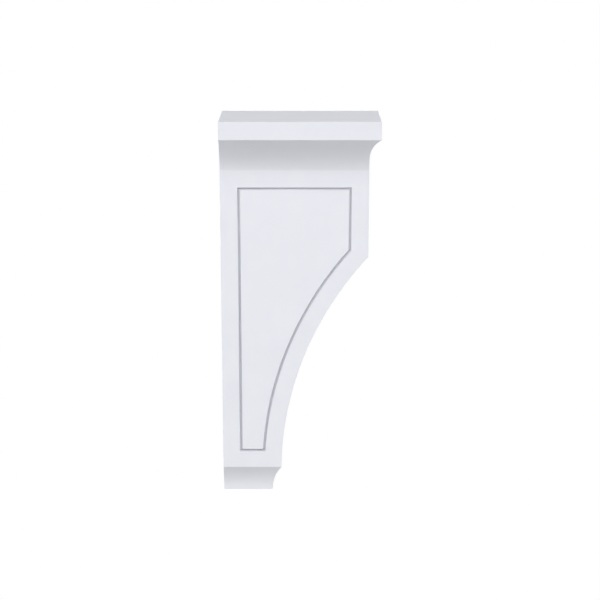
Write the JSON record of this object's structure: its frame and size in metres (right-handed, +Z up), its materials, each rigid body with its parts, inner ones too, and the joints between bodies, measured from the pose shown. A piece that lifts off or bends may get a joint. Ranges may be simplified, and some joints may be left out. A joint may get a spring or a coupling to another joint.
{
  "type": "wooden corbel bracket",
  "caption": "Painted wooden corbel bracket with a coved cap, a front that sweeps back in a hollow arc to a small coved foot, and a V-groove panel on each side.",
  "frame": {"origin": "centre of the flat back face, where the corbel meets the wall", "axes": "+Z up to the cap's top face, +X out from the wall, +Y across the thickness"},
  "size_m": [0.1651, 0.0836, 0.4058],
  "materials": {
    "white_paint": "satin white paint on sanded and primed wood"
  },
  "bodies": {
    "root": {"corbel": "white_paint"}
  },
  "joints": []
}
